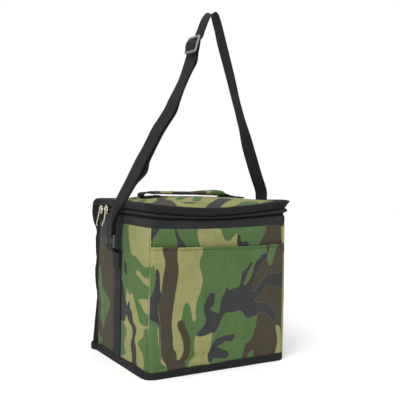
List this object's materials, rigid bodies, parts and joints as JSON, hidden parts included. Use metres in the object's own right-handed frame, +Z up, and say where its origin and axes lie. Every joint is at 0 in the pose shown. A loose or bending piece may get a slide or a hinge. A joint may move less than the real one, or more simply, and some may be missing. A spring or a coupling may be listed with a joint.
{
  "type": "insulated cooler bag",
  "caption": "Soft insulated lunch bag with a zipped lid on a back hinge, front slip pocket, top grab handle and an adjustable shoulder strap.",
  "frame": {"origin": "middle of the underside, where the bag stands", "axes": "+Z up, -Y the front with the pocket, -X the side where the zip sliders are parked"},
  "size_m": [0.291, 0.217, 0.5748],
  "materials": {
    "camo_fabric": "plain woven polyester with a printed woodland camouflage pattern",
    "foam": "closed-cell foam sheet",
    "foil": "reflective foil film",
    "binding_tape": "black woven binding tape",
    "webbing": "black ribbed webbing",
    "zip_tape": "black zip tape",
    "zip_coil": "black moulded zip coil",
    "zip_metal": "satin plated zinc",
    "black_plastic": "moulded black plastic"
  },
  "bodies": {
    "bag": {"base_panel": "binding_tape", "base_foam": "foam", "front_panel": "camo_fabric", "back_panel": "camo_fabric", "left_panel": "camo_fabric", "right_panel": "camo_fabric", "front_foam": "foam", "back_foam": "foam", "left_foam": "foam", "right_foam": "foam", "liner": "foil", "base_binding": "binding_tape", "back_left_binding": "binding_tape", "back_right_binding": "binding_tape", "front_pocket": "camo_fabric", "zip_tape_lower": "zip_tape", "zip_coil_lower": "zip_coil", "back_hinge_strip": "zip_tape", "side_anchor_left": "webbing", "side_anchor_right": "webbing"},
    "lid": {"lid_liner": "foil", "lid_foam": "foam", "lid_top_panel": "camo_fabric", "lid_binding": "binding_tape", "zip_tape_upper": "zip_tape", "zip_coil_upper": "zip_coil", "lid_hinge_strip": "zip_tape", "handle_tab_left": "webbing", "handle_tab_right": "webbing"},
    "handle": {"handle_webbing": "webbing", "handle_grip": "camo_fabric"},
    "slider_front": {"zip_slider_front": "zip_metal"},
    "slider_rear": {"zip_slider_rear": "zip_metal"},
    "pull_front": {"zip_pull_front": "zip_metal"},
    "pull_rear": {"zip_pull_rear": "zip_metal"},
    "strap": {"shoulder_strap": "webbing", "strap_tab_left": "webbing", "strap_tab_right": "webbing", "strap_ring_left": "black_plastic", "strap_ring_right": "black_plastic"},
    "glide": {"tri_glide": "black_plastic"}
  },
  "joints": [
    {"name": "lid_open", "type": "hinge", "parent": "bag", "child": "lid", "pos_m": [0, 0.1025, 0.241], "axis": [-1, 0, 0], "range_deg": [0, 135], "deforming": ["shoulder_strap"]},
    {"name": "handle_fold", "type": "hinge", "parent": "lid", "child": "handle", "pos_m": [0, 0, 0.2675], "axis": [1, 0, 0], "range_deg": [-40, 40]},
    {"name": "zip_front_slide", "type": "slide", "parent": "bag", "child": "slider_front", "axis": [0, -1, 0], "range_m": [0, 0.135]},
    {"name": "zip_rear_slide", "type": "slide", "parent": "bag", "child": "slider_rear", "axis": [0, 1, 0], "range_m": [0, 0.008]},
    {"name": "pull_front_flip", "type": "hinge", "parent": "slider_front", "child": "pull_front", "pos_m": [-0.1289, 0.052, 0.243], "axis": [0, 1, 0], "range_deg": [0, 120]},
    {"name": "pull_rear_flip", "type": "hinge", "parent": "slider_rear", "child": "pull_rear", "pos_m": [-0.1289, 0.074, 0.243], "axis": [0, 1, 0], "range_deg": [0, 120]},
    {"name": "strap_swing", "type": "hinge", "parent": "bag", "child": "strap", "pos_m": [0, 0.008, 0.17], "axis": [1, 0, 0], "range_deg": [-40, 40], "deforming": ["shoulder_strap"]},
    {"name": "glide_slide", "type": "slide", "parent": "strap", "child": "glide", "axis": [0.3087, -0.1488, 0.9394], "range_m": [-0.06, 0.004]}
  ]
}
